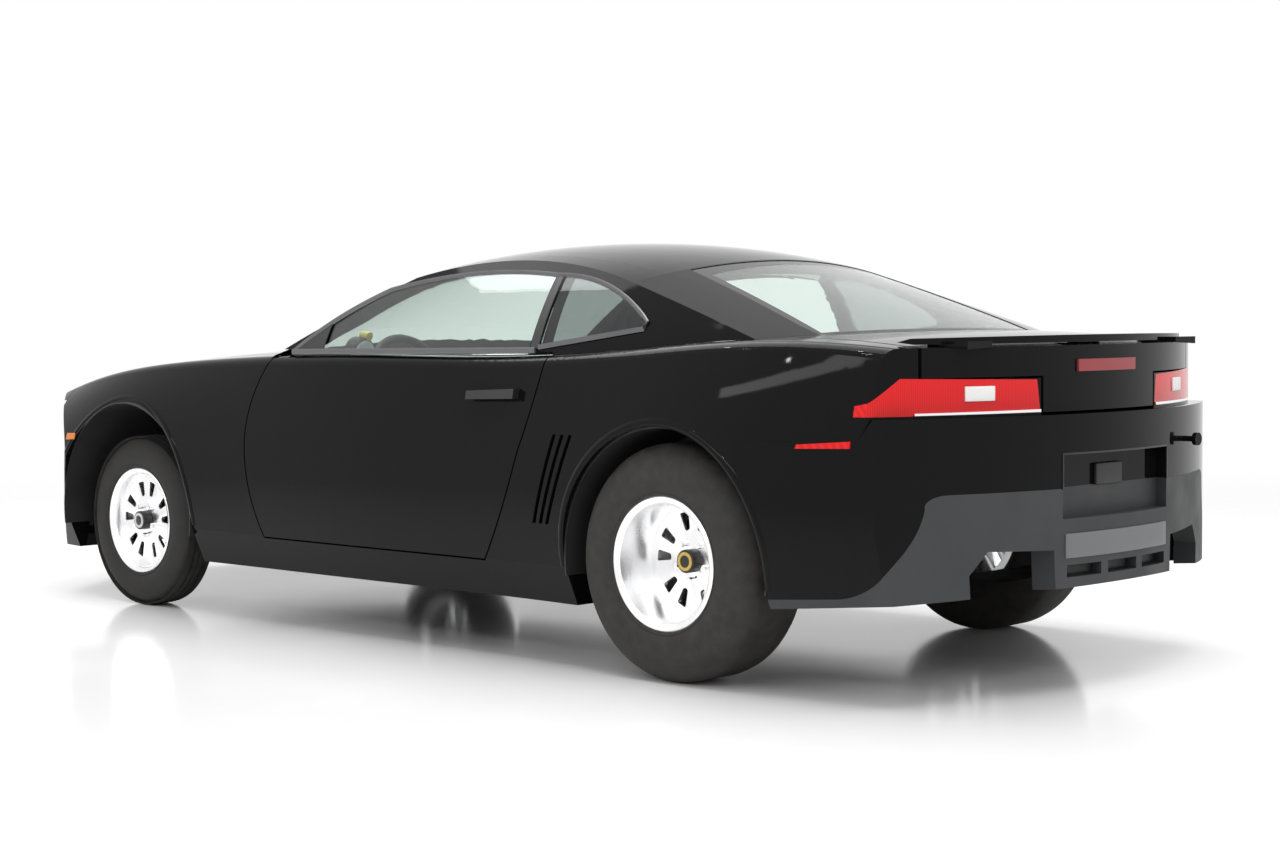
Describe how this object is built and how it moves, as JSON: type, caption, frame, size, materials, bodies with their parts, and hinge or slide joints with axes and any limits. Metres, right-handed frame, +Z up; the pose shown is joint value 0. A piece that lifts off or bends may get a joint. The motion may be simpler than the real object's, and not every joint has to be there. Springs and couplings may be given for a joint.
{
  "type": "drag racing coupe",
  "caption": "Two-door drag racing coupe with wide slick rear tyres on deep polished wheels, narrow front tyres, rear spoiler and opening doors, hood and rear lid.",
  "frame": {"origin": "on the floor, at mid-length on the centre plane", "axes": "+X forward, +Y to the car's left, +Z up"},
  "size_m": [4.841, 1.918, 1.3669],
  "materials": {
    "paint": "gloss black paint",
    "glass": "clear glass",
    "dark_glass": "tinted glass",
    "tyre": "worn rubber",
    "wheel_metal": "polished aluminium",
    "grey_plastic": "grained grey plastic",
    "black_plastic": "black plastic",
    "red_lens": "red lens",
    "amber_lens": "amber lens",
    "clear_lens": "clear lens",
    "frame_steel": "satin black steel",
    "engine_metal": "cast metal",
    "trim": "moulded trim",
    "seat_cover": "black cloth"
  },
  "bodies": {
    "root": {"fender_left": "paint", "fender_right": "paint", "quarter_left": "paint", "quarter_right": "paint", "sill_left": "paint", "sill_right": "paint", "roof_side_left": "paint", "roof_side_right": "paint", "front_bumper": "paint", "rear_bumper": "paint", "roof_panel": "paint", "tulip_panel": "paint", "windshield": "glass", "rear_window": "glass", "quarter_glass_left": "dark_glass", "quarter_glass_right": "dark_glass", "diffuser": "grey_plastic", "grille": "black_plastic", "cowl": "black_plastic", "front_liners": "black_plastic", "rear_liners": "black_plastic", "tail_lamps": "red_lens", "rear_markers": "red_lens", "front_markers": "amber_lens", "headlamps": "clear_lens", "floor_pan": "frame_steel", "front_frame": "frame_steel", "rear_axle": "frame_steel", "driveshaft": "frame_steel", "engine": "engine_metal", "dashboard": "trim", "steering_wheel": "trim", "seats": "seat_cover"},
    "door_left": {"door_left": "paint", "door_glass_left": "glass", "door_handle_left": "black_plastic"},
    "knuckle_left": {"knuckle_left": "frame_steel"},
    "front_wheel_left": {"front_rim_left": "wheel_metal", "front_tyre_left": "tyre"},
    "rear_wheel_left": {"rear_rim_left": "wheel_metal", "rear_tyre_left": "tyre"},
    "door_right": {"door_right": "paint", "door_glass_right": "glass", "door_handle_right": "black_plastic"},
    "knuckle_right": {"knuckle_right": "frame_steel"},
    "front_wheel_right": {"front_rim_right": "wheel_metal", "front_tyre_right": "tyre"},
    "rear_wheel_right": {"rear_rim_right": "wheel_metal", "rear_tyre_right": "tyre"},
    "hood": {"hood": "paint"},
    "decklid": {"decklid": "paint", "spoiler": "paint", "brake_lamp": "red_lens"}
  },
  "joints": [
    {"name": "door_left_hinge", "type": "hinge", "parent": "root", "child": "door_left", "pos_m": [0.6855, 0.9225, 0.65], "axis": [0, 0, -1], "range_deg": [0, 65]},
    {"name": "steer_left", "type": "hinge", "parent": "root", "child": "knuckle_left", "pos_m": [1.4615, 0.69, 0.33], "axis": [0, 0, 1], "range_deg": [-35, 35]},
    {"name": "front_wheel_left_spin", "type": "hinge", "parent": "knuckle_left", "child": "front_wheel_left", "pos_m": [1.4615, 0.791, 0.33], "axis": [0, 1, 0], "continuous": true},
    {"name": "rear_wheel_left_spin", "type": "hinge", "parent": "root", "child": "rear_wheel_left", "pos_m": [-1.3905, 0.78, 0.364], "axis": [0, 1, 0], "continuous": true},
    {"name": "door_right_hinge", "type": "hinge", "parent": "root", "child": "door_right", "pos_m": [0.6855, -0.9225, 0.65], "axis": [0, 0, 1], "range_deg": [0, 65]},
    {"name": "steer_right", "type": "hinge", "parent": "root", "child": "knuckle_right", "pos_m": [1.4615, -0.69, 0.33], "axis": [0, 0, 1], "range_deg": [-35, 35]},
    {"name": "front_wheel_right_spin", "type": "hinge", "parent": "knuckle_right", "child": "front_wheel_right", "pos_m": [1.4615, -0.791, 0.33], "axis": [0, 1, 0], "continuous": true},
    {"name": "rear_wheel_right_spin", "type": "hinge", "parent": "root", "child": "rear_wheel_right", "pos_m": [-1.3905, -0.78, 0.364], "axis": [0, 1, 0], "continuous": true},
    {"name": "hood_hinge", "type": "hinge", "parent": "root", "child": "hood", "pos_m": [0.677, 0, 0.98], "axis": [0, -1, 0], "range_deg": [0, 55]},
    {"name": "decklid_hinge", "type": "hinge", "parent": "root", "child": "decklid", "pos_m": [-1.768, 0, 1.05], "axis": [0, 1, 0], "range_deg": [0, 70]}
  ],
  "couplings": [
    {"joint": "steer_right", "follows": "steer_left", "ratio": 1}
  ]
}
